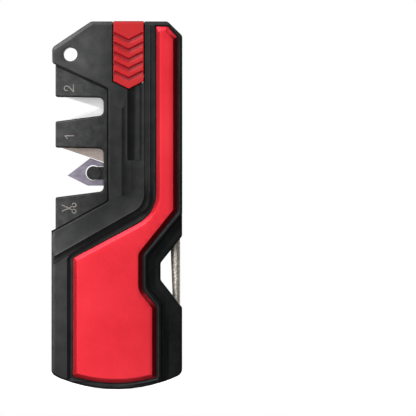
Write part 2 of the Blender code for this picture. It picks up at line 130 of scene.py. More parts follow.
slots = [
    (jaws, 60.5, 0.6), (body["slotEnd"], 62.45, 1.5), (body["slotEnd"], 75.85, 1.5), (jaws, 76.2, 0.6),
    (jaws, 84.4, 0.6), (body["slotEnd"], 86.4, 1.5), (body["slotEnd"], 91.85, 1.5), (jaws, 92.2, 0.6),
]
thumb = [(20.5, 48.3, 1.0), (13.7, 39.8, 1.5), (13.7, 34.4, 1.5), (20.5, 25.7, 1.0)]
coreCorners = (
    [(body["left"], 4.8, 2.0), (body["left"], 50.0, 0), (jaws, 50.6, 0)] + slots
    + [(jaws, 102.9, 0), (-20.1, 103.4, 0), (-20.1, 107.5, 2.0), (-8.1, 115.6, 2.0)]
    + [(15.75, 115.6, 0), (18.5, 113.1, 0), (17.6, 112.2, 0), (19.2, 110.5, 0)]
    + [(19.2, 64.6, 0), (20.5, 62.8, 0)]
    + thumb + [(20.5, 4.75, 2.4)] + bottomArc(17.0, -17.6, count=12)
)
panelCorners = (
    [(12.35, 114.3, 0.3), (15.9, 114.3, 0.8), (panelHigh[0], 110.9, 0.8), (panelHigh[0], 56.15, 1.5)]
    + [(8.0, 42.4, 2.0), (8.0, 31.45, 4.5), (12.4, 26.05, 1.0), (12.4, 3.7, 0.8)]
    + bottomArc(11.2, -12.8, rise=2.0)
    + [(panelLow[0], 4.0, 0.8), (panelLow[0], 41.3, 1.0), (12.35, 55.2, 11.0)]
)


def rounded(corners, steps=6):
    # Each corner becomes an arc that touches both its sides: one end's radius turned into the other's
    spots = np.array([c[:2] for c in corners], float)
    back, ahead = np.roll(spots, 1, axis=0) - spots, np.roll(spots, -1, axis=0) - spots
    backLength, aheadLength = np.hypot(*back.T), np.hypot(*ahead.T)
    back, ahead = back / backLength[:, None], ahead / aheadLength[:, None]
    half = np.arccos(np.clip((back * ahead).sum(1), -1, 1)) / 2
    radii = np.array([c[2] for c in corners], float)
    reach = np.minimum(radii / np.tan(half), 0.48 * np.minimum(backLength, aheadLength))
    share = np.linspace(0, 1, steps + 1)[:, None]
    arcs = []
    for i in range(len(corners)):
        if reach[i] < 0.02:
            arcs.append(spots[i:i + 1])
            continue
        middle = back[i] + ahead[i]
        centre = spots[i] + middle / np.hypot(*middle) * reach[i] / np.cos(half[i])
        first, last = spots[i] + back[i] * reach[i] - centre, spots[i] + ahead[i] * reach[i] - centre
        turn = np.pi - 2 * half[i]
        sweep = np.sin((1 - share) * turn) * first + np.sin(share * turn) * last
        arcs.append(centre + sweep / np.sin(turn))
    return np.concatenate(arcs)


def moved(corners, distance):
    # Every side slides outwards along its normal, and a corner's radius grows or shrinks with the distance
    spots = np.array([c[:2] for c in corners], float)
    before, after = spots - np.roll(spots, 1, axis=0), np.roll(spots, -1, axis=0) - spots
    before, after = before / np.hypot(*before.T)[:, None], after / np.hypot(*after.T)[:, None]
    nextSpots = np.roll(spots, -1, axis=0)
    side = np.sign((spots[:, 0] * nextSpots[:, 1] - nextSpots[:, 0] * spots[:, 1]).sum())
    outBefore = side * np.stack([before[:, 1], -before[:, 0]], axis=1)
    outAfter = side * np.stack([after[:, 1], -after[:, 0]], axis=1)
    scale = distance / (1 + (outBefore * outAfter).sum(1))
    spots = spots + (outBefore + outAfter) * scale[:, None]
    bend = np.sign(side * (before[:, 0] * after[:, 1] - before[:, 1] * after[:, 0]))
    radii = np.maximum(0.0, np.array([c[2] for c in corners], float) + bend * distance)
    return [(x, z, r) for (x, z), r in zip(spots.tolist(), radii.tolist())]


def depthInside(points, outline):
    # Distance to the nearest side of a closed outline, positive inside it by an even-odd count of crossings
    step = np.roll(outline, -1, axis=0) - outline
    away = points[:, None] - outline
    share = np.clip((away * step).sum(2) / (step**2).sum(1), 0, 1)
    nearest = np.sqrt(((away - share[..., None] * step) ** 2).sum(2).min(1))
    crossed = (outline[:, 1] > points[:, 1:]) != ((outline + step)[:, 1] > points[:, 1:])
    rise = np.where(step[:, 1] == 0, 1e-12, step[:, 1])
    meet = outline[:, 0] + (points[:, 1:] - outline[:, 1]) * step[:, 0] / rise
    inside = (crossed & (points[:, :1] < meet)).sum(1) % 2 == 1
    return np.where(inside, nearest, -nearest)


def band(corners, depths, drops):
    # A step, slope or groove along an outline: how far the face drops at each depth inside it
    outline = rounded(corners)
    return {
        "drop": lambda points: np.interp(depthInside(points, outline), depths, drops),
        "lines": [rounded(moved(corners, -depth)) for depth in depths],
    }


def fillet(corners, radius, steps=4):
    # A quarter round: depth = r (1 - cos t), drop = r (1 - sin t); one line more keeps the face flat
    turn = np.linspace(0, np.pi / 2, steps + 1)
    depths = np.append(radius * (1 - np.cos(turn)), radius + 0.07)
    return band(corners, depths, np.append(radius * (1 - np.sin(turn)), 0.0))


def deepest(points, bands):
    return np.max([one["drop"](points) for one in bands], axis=0)


def softEdge(corners, width, drop):
    # A broken edge: steep at the rim, then a chamfer that runs out into the face
    return band(corners, [0, 0.03, 0.25 * width, 0.6 * width, width, width + 0.07],
                [drop + 0.12, drop, 0.55 * drop, 0.17 * drop, 0.0, 0.0])


def bead(corners, width, height):
    # A low lip just outside an outline: it climbs over its width and falls away at the line itself
    outline = rounded(corners)
    depths = [-width, -0.04, 0.06]
    return {
        "rise": lambda points: np.interp(depthInside(points, outline), depths, [0, height, 0]),
        "lines": [rounded(moved(corners, -depth)) for depth in depths],
    }


def lifted(points, drop, beads):
    # The beads stand only where the face is not already cut away
    rise = np.max([one["rise"](points) for one in beads], axis=0)
    return np.where(drop < 0.35, rise, 0.0)


def linesOf(*bands):
    return [line for one in bands for line in one["lines"]]


def thinning(points, upper, lower):
    # From the upper to the lower level along a smooth step in height
    share = np.clip((body["thinFrom"] - points[:, 1]) / (body["thinFrom"] - body["thinTo"]), 0, 1)
    return upper + (lower - upper) * share * share * (3 - 2 * share)


def addPiece(name, points, faces, made, rides, slot=None, replaces=(), sharpAngle=28):
    mesh = bpy.data.meshes.new(name)
    mesh.from_pydata((points * mm).tolist(), [], faces)
    mesh.shade_smooth()
    mesh.set_sharp_from_angle(angle=radians(sharpAngle))
    mesh.materials.append(made)
    piece = bpy.data.objects.new(name, mesh)
    bpy.context.scene.collection.objects.link(piece)
    if rides:
        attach(piece, rides)
    if replaces:
        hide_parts(*replaces)
    print(f"{name}: {len(faces)} faces")
    return piece


def slab(rim, side, outer, inner, lines=(), holes=(), heights=()):
    # A plate with two worked faces, y = side * outer(x, z) and y = side * inner(x, z), over one flat net
    # whose edges follow the rim, the holes and the lines of the relief. Walls close the rim and the holes
    rimLoop, holeLoops = rounded(rim), [rounded(hole) for hole in holes]
    loops = [rimLoop, *holeLoops, *lines]
    starts = np.cumsum([0] + [len(loop) for loop in loops])
    edges = [
        (int(start + i), int(start + (i + 1) % len(loop)))
        for start, loop in zip(starts, loops) for i in range(len(loop))
    ]
    flat = np.concatenate(loops)
    low, high = flat.min(0) - 1, flat.max(0) + 1
    for height in heights:
        edges.append((len(flat), len(flat) + 1))
        flat = np.concatenate([flat, [(low[0], height), (high[0], height)]])
    found = geometry.delaunay_2d_cdt([Vector(p) for p in flat.tolist()], edges, [], 0, 1e-5)
    flat, triangles = np.array([tuple(p) for p in found[0]]), np.array(found[2])
    a, b, c = flat[triangles[:, 0]], flat[triangles[:, 1]], flat[triangles[:, 2]]
    turn = (b[:, 0] - a[:, 0]) * (c[:, 1] - a[:, 1]) - (b[:, 1] - a[:, 1]) * (c[:, 0] - a[:, 0])
    triangles = np.where(turn[:, None] > 0, triangles, triangles[:, ::-1])
    centres = (a + b + c) / 3
    keep = (depthInside(centres, rimLoop) > 0) & (np.abs(turn) > 1e-9)
    for hole in holeLoops:
        keep &= depthInside(centres, hole) < 0
    used, triangles = np.unique(triangles[keep], return_inverse=True)
    triangles, flat = triangles.reshape(-1, 3), flat[used]
    count = len(flat)
    ways = np.concatenate([triangles[:, [0, 1]], triangles[:, [1, 2]], triangles[:, [2, 0]]])
    rimWays = ways[~np.isin(ways[:, 0] * count + ways[:, 1], ways[:, 1] * count + ways[:, 0])]
    outerY, innerY = outer(flat), inner(flat)
    rimPoints, rimIndex = np.unique(rimWays, return_inverse=True)
    rimIndex = rimIndex.reshape(-1, 2)
    layers = [outerY, innerY]
    rows = []
    for share in (0.06, 0.94):
        layers.append(outerY[rimPoints] + (innerY - outerY)[rimPoints] * share)
        rows.append(rimIndex + 2 * count + len(rows) * len(rimPoints))
    rings = [rimWays, *rows, rimWays + count]
    walls = [
        np.stack([upper[:, 1], upper[:, 0], lower[:, 0], lower[:, 1]], axis=1)
        for upper, lower in zip(rings[:-1], rings[1:])
    ]
    places = np.concatenate([flat, flat, flat[rimPoints], flat[rimPoints]])
    points = np.stack([places[:, 0], side * np.concatenate(layers), places[:, 1]], axis=1)
    faces = [triangles, triangles[:, ::-1] + count, *walls]
    if side > 0:
        faces = [some[:, ::-1] for some in faces]
    return points, [face for some in faces for face in some.tolist()]


def tube(rings):
    # A grid of rings (ring, point, xyz) joined along their length and capped at both ends
    count, sides = rings.shape[:2]
    index = np.arange(count * sides).reshape(count, sides)
    ahead = np.roll(index, -1, axis=1)
    quads = np.stack([index[:-1], ahead[:-1], ahead[1:], index[1:]], axis=2).reshape(-1, 4)
    faces = quads.tolist() + [index[0, ::-1].tolist(), index[-1].tolist()]
    return rings.reshape(-1, 3), faces


# Materials

def toLinear(code):
    # sRGB to linear: c / 12.92 for dark values, else ((c + 0.055) / 1.055) ^ 2.4
    parts = np.array([int(code[i:i + 2], 16) for i in (1, 3, 5)]) / 255
    linear = np.where(parts <= 0.04045, parts / 12.92, ((parts + 0.055) / 1.055) ** 2.4)
    return (*linear.tolist(), 1.0)


def addNode(tree, kind, values=None, links=None, **settings):
    # One node: its own settings, the values of its free sockets, and what is plugged into it
    node = tree.nodes.new(kind)
    for name, value in settings.items():
        setattr(node, name, value)
    for name, value in (values or {}).items():
        node.inputs[name].default_value = value
    for name, source in (links or {}).items():
        tree.links.new(source, node.inputs[name])
    return node


def newMaterial(name, sockets):
    made = bpy.data.materials.new(name)
    made.use_nodes = True
    shader = made.node_tree.nodes["Principled BSDF"]
    for socket, value in sockets.items():
        shader.inputs[socket].default_value = value
    return made, made.node_tree, shader


def noise(tree, place, sizeMm, detail=3.0):
    scale = 1 / (sizeMm * mm)
    made = addNode(tree, "ShaderNodeTexNoise", {"Scale": scale, "Detail": detail}, {"Vector": place})
    return made.outputs["Fac"]


def rescale(tree, source, lowest, highest, toLowest=0.0, toHighest=1.0):
    ends = {"From Min": lowest, "From Max": highest, "To Min": toLowest, "To Max": toHighest}
    return addNode(tree, "ShaderNodeMapRange", ends, {"Value": source}).outputs["Result"]


def finishSurface(tree, shader, color, rough, height, depthMm, sunk=False):
    bump = addNode(tree, "ShaderNodeBump", {"Strength": 1.0, "Distance": depthMm * mm},
                   {"Height": height}, invert=sunk)
    tree.links.new(color, shader.inputs["Base Color"])
    tree.links.new(rough, shader.inputs["Roughness"])
    tree.links.new(bump.outputs["Normal"], shader.inputs["Normal"])


# Painted sheen, brighter where the light falls at the upper left: it grows by 2.56 with each millimetre to
# the left, and by 0.503 with each one upwards
paintedSheenGrowth = (-2.56 / mm, 0.0, 0.503 / mm)


def grained(name, look):
    # Slow clouds mix two tones, a finer grain speckles them, and the same grain gives bump and roughness
    made, tree, shader = newMaterial(name, look["shader"])
    place = addNode(tree, "ShaderNodeTexCoord").outputs["Object"]
    turned = {"Scale": look.get("stretch", (1, 1, 1)), "Rotation": look.get("turn", (0, 0, 0))}
    run = addNode(tree, "ShaderNodeMapping", turned, {"Vector": place}).outputs["Vector"]
    grain = noise(tree, run, look["grainMm"])
    spread = rescale(tree, noise(tree, place, look["cloudMm"]), 0.3, 0.7)
    tones = {"Color1": toLinear(look["dark"]), "Color2": toLinear(look["light"])}
    tone = addNode(tree, "ShaderNodeMixRGB", tones, {"Fac": spread})
    color = addNode(tree, "ShaderNodeMixRGB", {"Fac": look["fleck"]},
                    {"Color1": tone.outputs["Color"], "Color2": grain}, blend_type="OVERLAY").outputs["Color"]
    if "sheen" in look:
        # Slow patches where the moulding came out shinier or duller, over a painted sheen that is strongest
        # at the upper left, where the light falls, and dies away from there
        sheen = rescale(tree, noise(tree, place, look["patchMm"], 4.0), 0.35, 0.65, *look["sheen"])
        # The painted sheen ramp holds where it starts and ends, and the factor on the sheen at both
        along = addNode(tree, "ShaderNodeVectorMath", {1: paintedSheenGrowth}, {0: place}, operation="DOT_PRODUCT")
        paintedSheenRamp = rescale(tree, along.outputs["Value"], *look["paintedSheenRamp"])
        shine = addNode(tree, "ShaderNodeMath", links={0: sheen, 1: paintedSheenRamp}, operation="MULTIPLY")
        tree.links.new(shine.outputs["Value"], shader.inputs["Specular IOR Level"])
    if "hollow" in look:
        # Below a level the surface holds a deeper tone: painted shade at the bottom of a groove
        level, full, shade = look["hollow"]
        parts = addNode(tree, "ShaderNodeSeparateXYZ", links={"Vector": place})
        inside = rescale(tree, parts.outputs["Y"], level * mm, full * mm)
        color = addNode(tree, "ShaderNodeMixRGB", {"Color2": toLinear(shade)},
                        {"Fac": inside, "Color1": color}).outputs["Color"]
    rough = rescale(tree, grain, 0.3, 0.7, *look["roughness"])
    finishSurface(tree, shader, color, rough, grain, look["depthMm"])
    return made


# ABS moulded in a spark-eroded tool: a dull grey sheen that breaks into fine speckle
coverPlastic = grained("spark_eroded_black_abs", {
    "dark": "#0d0e0f", "light": "#17181a", "cloudMm": 9.0, "fleck": 0.35, "roughness": (0.38, 0.48),
    # The last entry on the next line paints a sheen that is brighter towards the upper left, where the light
    # falls
    "patchMm": 3.5, "sheen": (0.22, 0.3), "paintedSheenRamp": (44.0, 90.0, 1.0, 2.7),
    "grainMm": 0.45, "depthMm": 0.014,       # real grain is about 0.1 mm, drawn coarser so that it shows
    "shader": {"IOR": 1.53},
})
# Glass-filled nylon: rougher and a little greyer than the covers
corePlastic = grained("glass_filled_black_nylon", {
    "dark": "#0e0f10", "light": "#191a1b", "cloudMm": 7.0, "fleck": 0.5, "roughness": (0.4, 0.52),
    # The last entry on the next line paints a sheen that is brighter towards the upper left, where the light
    # falls
    "patchMm": 2.2, "sheen": (0.2, 0.32), "paintedSheenRamp": (28.0, 86.0, 0.4, 2.5),
    "grainMm": 0.6, "depthMm": 0.025,        # real grain is about 0.15 mm, drawn coarser so that it shows
    "shader": {"IOR": 1.53},
})
# Bead-blasted aluminium, dyed red in the anodising bath: a satin metal glow with a fine sparkle
redAluminium = grained("bead_blasted_red_anodised_aluminium", {
    "dark": "#cb2a34", "light": "#d6323c", "cloudMm": 14.0, "fleck": 0.22, "roughness": (0.27, 0.36),
    "grainMm": 0.35, "depthMm": 0.006,       # real blast dimples are about 0.05 mm
    "shader": {"Metallic": 1.0},
})
# Red ABS, satin: softer and a touch browner than the metal
redLook = {
    "dark": "#c4141a", "light": "#d0181e", "cloudMm": 8.0, "fleck": 0.15, "roughness": (0.34, 0.44),
    "grainMm": 0.5, "depthMm": 0.008, "shader": {"IOR": 1.53, "Specular IOR Level": 0.25},
}
redPlastic = grained("satin_red_abs", redLook)
# The same moulding on the thumb slider, with painted shade, a deeper red, down in its grooves
groovedRedPaintedShade = grained("satin_red_abs_painted_groove_shade",
                     {**redLook, "hollow": (sliderLow[1] + 0.3, sliderLow[1] + 0.5, "#9c1a27")})
# Zinc-plated steel: bright with a soft tumbled haze
platedSteel = grained("tumbled_zinc_plated_steel", {
    "dark": "#a9a8a6", "light": "#c8c7c4", "cloudMm": 3.0, "fleck": 0.2, "roughness": (0.22, 0.38),
    "grainMm": 0.3, "depthMm": 0.004, "shader": {"Metallic": 1.0},
})
# Tungsten carbide, ground: a warm grey with fine lines along the edge
groundCarbide = grained("ground_tungsten_carbide", {
    "dark": "#a59790", "light": "#bdafa8", "cloudMm": 3.0, "fleck": 0.35, "roughness": (0.35, 0.5),
    "grainMm": 0.5, "depthMm": 0.006, "stretch": (0.12, 1.0, 1.0), "turn": (0, radians(-18), 0),
    "shader": {"Metallic": 0.6},
})
# Tool steel, ground: cooler and darker, with the grinding lines running to the point
groundSteel = grained("ground_tool_steel", {
    "dark": "#767080", "light": "#8c8692", "cloudMm": 3.0, "fleck": 0.5, "roughness": (0.3, 0.45),
    "grainMm": 0.6, "depthMm": 0.008, "stretch": (0.15, 1.0, 1.0), "turn": (0, radians(35), 0),
    "shader": {"Metallic": 0.8},
})
# Sintered alumina: chalk white and matt, with a faint tooth
whiteCeramic = grained("sintered_alumina_painted_glow", {
    "dark": "#f2f2f0", "light": "#fbfbfa", "cloudMm": 5.0, "fleck": 0.04, "roughness": (0.5, 0.65),
    "grainMm": 0.4, "depthMm": 0.006,        # the faint glow is painted light that lifts the stones out of the shade of their slots
    "shader": {"IOR": 1.76, "Emission Color": (1.0, 1.0, 1.0, 1.0), "Emission Strength": 0.22},
})
# Pad-printed grey ink: flat, a little broken where the plastic's grain shows through
greyInk = grained("pad_printed_grey_ink", {
    "dark": "#8f8a84", "light": "#aca69f", "cloudMm": 1.2, "fleck": 0.3, "roughness": (0.55, 0.7),
    "grainMm": 0.3, "depthMm": 0.004, "shader": {"IOR": 1.5},
})


def gritMaterial(look):
    # Cells of nickel-held diamond: each cell has its own tone, and its rounded top stands up in the bump
    made, tree, shader = newMaterial("nickel_bonded_diamond_grit", look["shader"])
    place = addNode(tree, "ShaderNodeTexCoord").outputs["Object"]
    cells = addNode(tree, "ShaderNodeTexVoronoi", {"Scale": 1 / (look["gritMm"] * mm)}, {"Vector": place})
    hue = addNode(tree, "ShaderNodeSeparateColor", links={"Color": cells.outputs["Color"]})
    tones = {"Color1": toLinear(look["dark"]), "Color2": toLinear(look["light"])}
    tone = addNode(tree, "ShaderNodeMixRGB", tones, {"Fac": hue.outputs["Red"]})
    rough = rescale(tree, hue.outputs["Green"], 0.0, 1.0, *look["roughness"])
    height = cells.outputs["Distance"]
    finishSurface(tree, shader, tone.outputs["Color"], rough, height, look["depthMm"], sunk=True)
    return made


diamondGrit = gritMaterial({
    "dark": "#a39c91", "light": "#eae3d8", "roughness": (0.35, 0.6),
    "gritMm": 0.42, "depthMm": 0.05,         # real grit is about 0.1 mm, drawn coarser so that it sparkles
    "shader": {"Metallic": 0.75},
})
print("materials ready")

# Covers

cover = {
    "face": (7.34, 6.63), "back": 5.4, "edgeRadius": 0.7, "seamRadius": 0.22,
    "recessDrop": 0.74,          # depth of the seat that the panel or the clip lies in
    "lipWidth": 0.3, "lipDrop": 0.12,
    "grooveDrop": (0.05, 0.6),   # the long groove beside the panel: above, below
    "grooveBend": (8.6, 58.0, 6.0), "grooveFoot": 19.0,      # the lines' bends, and how low they get
    "ridgeBend": (10.45, 57.2, 4.5), "ridgeFoot": 15.8,      # far out on the left
    "fallsTo": (54, 66),         # groove and ramp get shallower between these heights
    "rampWidth": 1.0, "rampDrop": (0.14, 0.42),
    "beadWidth": 0.44, "beadHeight": 0.19, "thinBeadWidth": 0.25, "thinBeadHeight": 0.09,
    "channel": (3.3, 72.2, 7.4, 97.3),
    "channelAt": [3.3, 3.34, 5.4, 6.5, 7.2, 7.4], "channelDrop": [0.0, 0.35, 1.0, 1.05, 0.75, 0.0],
    "slotLong": (1.5, 61.3, 1.95, 88.6), "slotWide": (4.6, 63.2, 5.65, 72.4), "slotDrop": 0.9,
    "screwHole": 1.9, "rivetHole": 1.15, "partingWidth": 0.5, "partingDrop": 0.26,
    "sideStep": 0.3,             # the rim beside the panel falls in two steps to the cover's outer edge
}
thinSteps = np.linspace(body["thinTo"], body["thinFrom"], 9).tolist()


def partingOutline(withMouth):
    top = tab + (mouth if withMouth else []) + upperRight
    return top + coverRight + bottomArc(11.5, -18.0) + lowerLeft + partingEdge


def coverBands():
    # The relief that both covers share: the panel's seat, and the groove and ramp along its upper left side
    lip, gap, drop = cover["lipWidth"], body["gap"], cover["recessDrop"]
    seat = band(moved(panelCorners, gap + lip), [0, lip - 0.05, lip, lip + 0.04],
                [0, cover["lipDrop"], cover["lipDrop"] + 0.05, drop])
    far, grooveX, ridgeX = 60.0, cover["grooveBend"][0], cover["ridgeBend"][0]
    around = [(-far, -far, 0), (far, -far, 0), (far, far * 2, 0)]
    upper = [(grooveX, far * 2, 0), cover["grooveBend"], (-far, cover["grooveFoot"], 0)] + around
    ridge = [(ridgeX, far * 2, 0), cover["ridgeBend"], (-far, cover["ridgeFoot"], 0)] + around
    grooveTop = band(upper, [0, 0.12, 0.3, 1.45], [0, 0.15, 0.35, 1.0])
    grooveEnd = band(ridge, [-0.38, -0.04], [1.0, 0.0])
    rampCorners = [(ridgeX, 114.6, 0), cover["ridgeBend"], (-14.9, 42.3, 0.5), (-15.7, 41.3, 0.5),
                   (-15.7, 2.6, 0), (0, 2.0, 0), (0, 44.0, 0), (15.0, 53.0, 0), (15.0, 114.6, 0)]
    ramp = band(rampCorners, [0, 0.1, cover["rampWidth"]], [0, 0.15, 1.0])
    # Beside the panel's right side the rim has a hollow line half way to the cover's outer edge
    hollow = band(moved(panelCorners, 1.25), [-0.05, 0.0, 0.3, 0.62], [0, cover["sideStep"], 0.05, 0.0])

    def groove(points):
        depth = np.interp(points[:, 1], cover["fallsTo"], cover["grooveDrop"][::-1])
        return depth * grooveTop["drop"](points) * grooveEnd["drop"](points)

    def rampFall(points):
        depth = np.interp(points[:, 1], cover["fallsTo"], cover["rampDrop"][::-1])
        return depth * ramp["drop"](points)

    def rightHollow(points):
        side = (points[:, 0] > 5) & (points[:, 1] < 52)
        return np.where(side, hollow["drop"](points), 0.0)

    beads = [bead(upper, cover["beadWidth"], cover["beadHeight"]),
             bead(rampCorners, cover["thinBeadWidth"], cover["thinBeadHeight"])]
    bands = [
        seat, {"drop": rampFall, "lines": ramp["lines"]},
        {"drop": groove, "lines": linesOf(grooveTop, grooveEnd)},
        {"drop": rightHollow, "lines": hollow["lines"]},
    ]
    return bands, beads


def faceBox(place, drop, radius=0.0):
    return band(rectangle(*place, radius), [0, 0.04], [0, drop])


def coverEdges(rim):
    # Round outside corners, a chamfer along the line where cover and jaws part, a small round at the eyelet
    parting = [(-60.0, 28.0, 0), *partingEdge, (-60.0, 121.3, 0)]
    parting += [(60.0, 121.3, 0), (60.0, -20.0, 0), (-60.0, -20.0, 0)]
    # A wide low chamfer along the top and down the eyelet's slanting side
    brow = [(-69.7, 74.5, 0), tab[2], (60, body["top"], 0), (60, -40, 0), (-69.7, -40, 0)]
    return [
        band(brow, [0, 0.1, 1.05, 1.15], [0.58, 0.42, 0.0, 0.0]),
        fillet(hullCorners, cover["edgeRadius"]),
        softEdge(parting, cover["partingWidth"], cover["partingDrop"]), fillet(rim, cover["seamRadius"], 2),
        band(circle(*body["lanyard"]), [-0.3, -0.1, 0.02], [0.0, 0.06, 0.3]),
    ]


def buildFrontCover():
    rim = partingOutline(True)
    channel = faceBox(cover["channel"], 1.0)
    low, high = cover["channel"][1], cover["channel"][3]
    channelLines = [np.array([(x, low), (x + 0.001, high)]) for x in cover["channelAt"][2:5]]
    bands, beads = coverBands()
    relief = bands + coverEdges(rim)
    relief.append(faceBox(cover["slotLong"], cover["slotDrop"]))
    relief.append(faceBox(cover["slotWide"], cover["slotDrop"] / 2))
    beads.append(bead(rectangle(*cover["slotLong"]), 0.25, 0.07))
    beads.append(bead([(3.3, 72.2, 0), (3.3, 130, 0), (7.4, 130, 0), (7.4, 72.2, 0)], 0.25, 0.04))

    def outer(points):
        floor = channel["drop"](points) * np.interp(points[:, 0], cover["channelAt"], cover["channelDrop"])
        drop = np.maximum(deepest(points, relief), floor)
        return thinning(points, *cover["face"]) - drop + lifted(points, drop, beads)

    lines = linesOf(*relief, *beads, channel) + channelLines
    points, faces = slab(rim, -1, outer, lambda p: np.full(len(p), cover["back"]),
                         lines, [circle(*body["lanyard"])], thinSteps)
    addPiece("front_cover_shell", points, faces, coverPlastic, "body", "cover_plastic", ["front_cover"])


def buildRearCover():
    rim = partingOutline(False)
    holes = [circle(*body["lanyard"])] + [circle(x, z, cover["screwHole"]) for x, z in body["screws"]]
    holes += [circle(x, z, cover["rivetHole"], 24) for x, z in body["rivets"]]
    bands, beads = coverBands()
    relief = bands + coverEdges(rim)

    def outer(points):
        drop = deepest(points, relief)
        return thinning(points, *cover["face"]) - drop + lifted(points, drop, beads)

    points, faces = slab(rim, 1, outer, lambda p: np.full(len(p), cover["back"]),
                         linesOf(*relief, *beads), holes, thinSteps)
    addPiece("rear_cover_shell", points, faces, coverPlastic, "body", "cover_plastic", ["rear_cover"])


buildFrontCover()
buildRearCover()

# Cores: the two halves that hold the blades, the file and the jaws

core = {
    "face": 6.6, "slab": 5.1, "seam": 0.15, "edgeRadius": 0.6, "seamBevel": 0.2,
    "padSlope": 1.75, "padDrop": 0.85,       # the corner beside the file slopes down from the cover
    "padLean": 0.07,                         # and then leans on towards the edge, this much per mm
    "jawLean": 0.05, "jawLeanFrom": -9.0,    # the jaws fall off towards their outer end
    "jawPad": [(-30, 44.6, 0), (-3.0, 59.45, 1.0), (-3.0, 94.4, 1.5), (-30, 106.9, 0)],
    "cornerPad": [(40, 78.8, 0), (10.15, 41.6, 1.5), (10.15, 31.95, 4.0), (14.5, 27.1, 1.5), (14.5, -10, 0),
                  (40, -10, 0)],
    "boreRadius": 1.35, "boreDepth": 3.1, "insertGap": 0.35, "insertRoom": 1.9, "postRoom": 2.6,
    "pinRoom": (1.6, 4.95), "washerRoom": (2.95, 3.8),       # radius, depth
    "wayHalf": 3.25, "wayLevel": 2.3, "wayFrom": 68.5, "springRoomZ": (78.5, 101.5), "springRoomX": 2.3,
    "rooms": [                   # (left, low, right, high), how far it reaches from the seam, corner radius
        ((15.4, 16.0, 26.0, 91.0), 3.2, 0), ((10.7, -5.0, 26.0, 17.0), 3.2, 0),
        ((14.2, 78.5, 26.0, 92.0), 4.6, 0), ((15.4, 80.0, 26.0, 100.8), 3.0, 1.2),
        ((9.6, 6.6, 12.0, 27.0), 2.9, 0),
    ],
}
inserts = {
    "carbide_blade": [(-17.4, 76.1, 0), (-3.2, 71.3, 0), (-3.2, 79.4, 0), (-15.6, 79.4, 0)],
    "scissor_blade": [(-15.7, 67.4, 0), (-8.5, 72.9, 0), (-2.9, 70.9, 0), (-2.9, 64.2, 0), (-9.3, 64.2, 0)],
    "ceramic_upper": [(-15.6, 91.9, 0), (-3.3, 88.1, 0), (-3.3, 94.2, 0), (-13.0, 94.2, 0)],
    "ceramic_lower": [(-15.0, 85.4, 0), (-3.3, 89.4, 0), (-3.3, 83.4, 0), (-13.5, 83.4, 0)],
}
post = {"x": -7.48, "z": 68.15, "radius": 2.2, "stemHalf": 2.0, "stemEnd": -2.6, "half": 2.4,
        "holeX": -7.6, "holeZ": 68.28, "holeRadius": 2.42}


def headAndStem(x, z, radius, half, count, end, endHalf):
    # A round head with a straight stem that runs into the body at the post's height
    turn = np.arccos(np.sqrt(radius**2 - half**2) / radius)
    head = arcCorners(x, z, radius, np.linspace(turn, 2 * np.pi - turn, count))
    return head + [(end, post["z"] - endHalf, 0), (end, post["z"] + endHalf, 0)]


def keyhole(extra=0.0):
    radius, half = post["radius"] + extra, post["stemHalf"] + extra
    return headAndStem(post["x"], post["z"], radius, half, 25, post["stemEnd"] + extra, half)


def jawFall(x):
    return core["jawLean"] * np.maximum(0.0, core["jawLeanFrom"] - x)


def buildCore(name, node, side):
    step = core["face"] - core["slab"]
    jawPad = band(core["jawPad"], [-0.04, 0, 0.12], [step, 0.12, 0])
    jawLip = band(core["jawPad"], [0.12, 0.16, 0.55], [0, 1, 0])
    slope, lean = core["padSlope"], core["padLean"]
    cornerPad = band(core["cornerPad"], [-0.04, 0, slope, slope + 0.1, slope + 8],
                     [step, 0.1, core["padDrop"], core["padDrop"] + 0.02, core["padDrop"] + lean * 8])
    edge = fillet(coreCorners, core["edgeRadius"])
    wayLeft, wayRight = sliderMiddle - core["wayHalf"], sliderMiddle + core["wayHalf"]
    wayDrop, (roomLow, roomHigh) = core["face"] - core["wayLevel"], core["springRoomZ"]
    way = faceBox((wayLeft, core["wayFrom"], wayRight, 125.0), wayDrop)
    springRoom = faceBox((wayRight - 0.1, roomLow, wayRight + core["springRoomX"], roomHigh), wayDrop)
    outerCuts = [way, springRoom] if side < 0 else []

    def outer(points):
        jaw = jawPad["drop"](points)
        drop = np.minimum(jaw, cornerPad["drop"](points)) + edge["drop"](points)
        drop += np.where(jaw < 0.5, jawFall(points[:, 0]) - 0.1 * jawLip["drop"](points), 0.0)
        if outerCuts:
            drop = np.maximum(drop, deepest(points, outerCuts))
        return core["face"] - drop

    seam = core["seam"]
    rooms = [faceBox(place, level - seam, radius) for place, level, radius in core["rooms"]]
    gap = core["insertGap"]
    rooms += [band(moved(corners, gap), [0, 0.04], [0, core["insertRoom"]]) for corners in inserts.values()]
    rooms.append(band(keyhole(gap), [0, 0.04], [0, core["postRoom"]]))
    for radius, depth in (core["pinRoom"], core["washerRoom"]):
        rooms.append(band(circle(pinX, pinZ, radius), [0, 0.04], [0, depth]))
    rooms.append(band(coreCorners, [0, core["seamBevel"]], [core["seamBevel"], 0]))
    holes = [circle(*body["lanyard"])]
    bores = [circle(x, z, core["boreRadius"], 24) for x, z in body["screws"]]
    if side > 0:
        holes += bores
    else:
        rooms += [band(bore, [0, 0.04], [0, core["boreDepth"]]) for bore in bores]
    points, faces = slab(coreCorners, side, outer, lambda p: seam + deepest(p, rooms),
                         linesOf(jawPad, jawLip, cornerPad, edge, *outerCuts, *rooms), holes)
    addPiece(name, points, faces, corePlastic, "body", "core_plastic", [node])


buildCore("front_core_half", "front_core", -1)
buildCore("rear_core_half", "rear_core", 1)

# Red panel and clip

